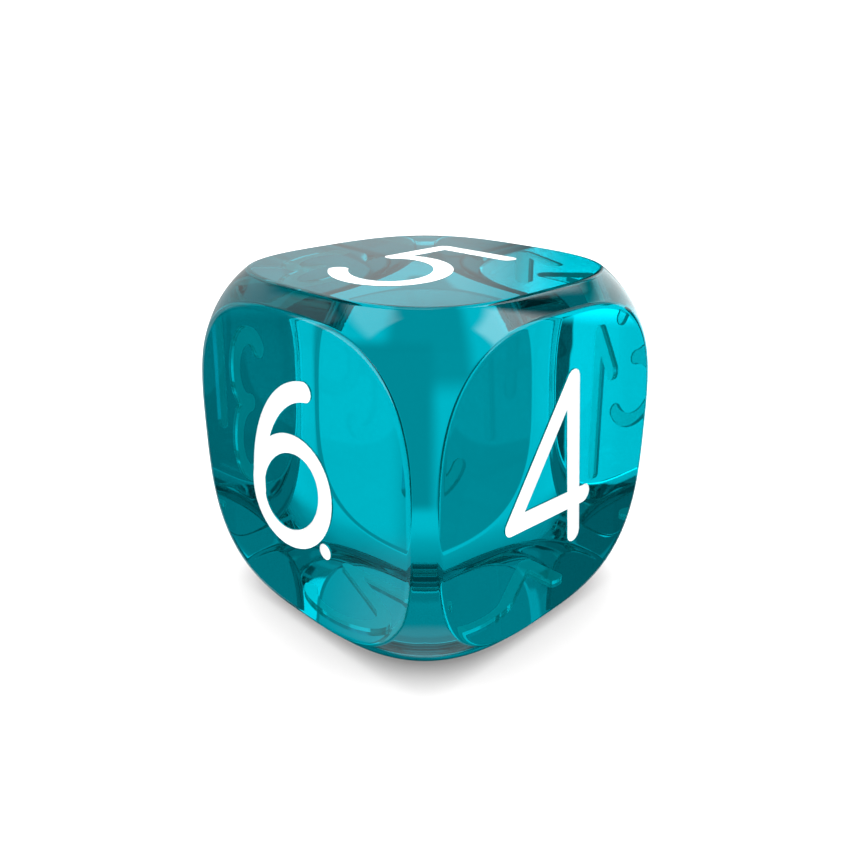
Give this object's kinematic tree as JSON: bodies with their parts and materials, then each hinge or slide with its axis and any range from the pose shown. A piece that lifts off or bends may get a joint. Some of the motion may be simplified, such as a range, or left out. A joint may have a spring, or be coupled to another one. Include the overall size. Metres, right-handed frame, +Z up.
{
  "type": "six-sided die",
  "caption": "Translucent six-sided game die with rounded edges and corners and inlaid white numerals, lying on a flat face.",
  "frame": {"origin": "centre of the face that the die rests on, the one with the 2", "axes": "+Z up through the face with the 5; -Y out of the 6, +X out of the 4, +Y out of the 1, -X out of the 3"},
  "size_m": [0.016, 0.016, 0.016],
  "materials": {
    "teal_acrylic": "polished translucent acrylic",
    "white_inlay": "satin white inlay paint"
  },
  "bodies": {
    "root": {"die_body": "teal_acrylic", "one_inlay": "white_inlay", "two_inlay": "white_inlay", "three_inlay": "white_inlay", "four_inlay": "white_inlay", "five_inlay": "white_inlay", "six_inlay": "white_inlay", "six_dot_inlay": "white_inlay"}
  },
  "joints": []
}
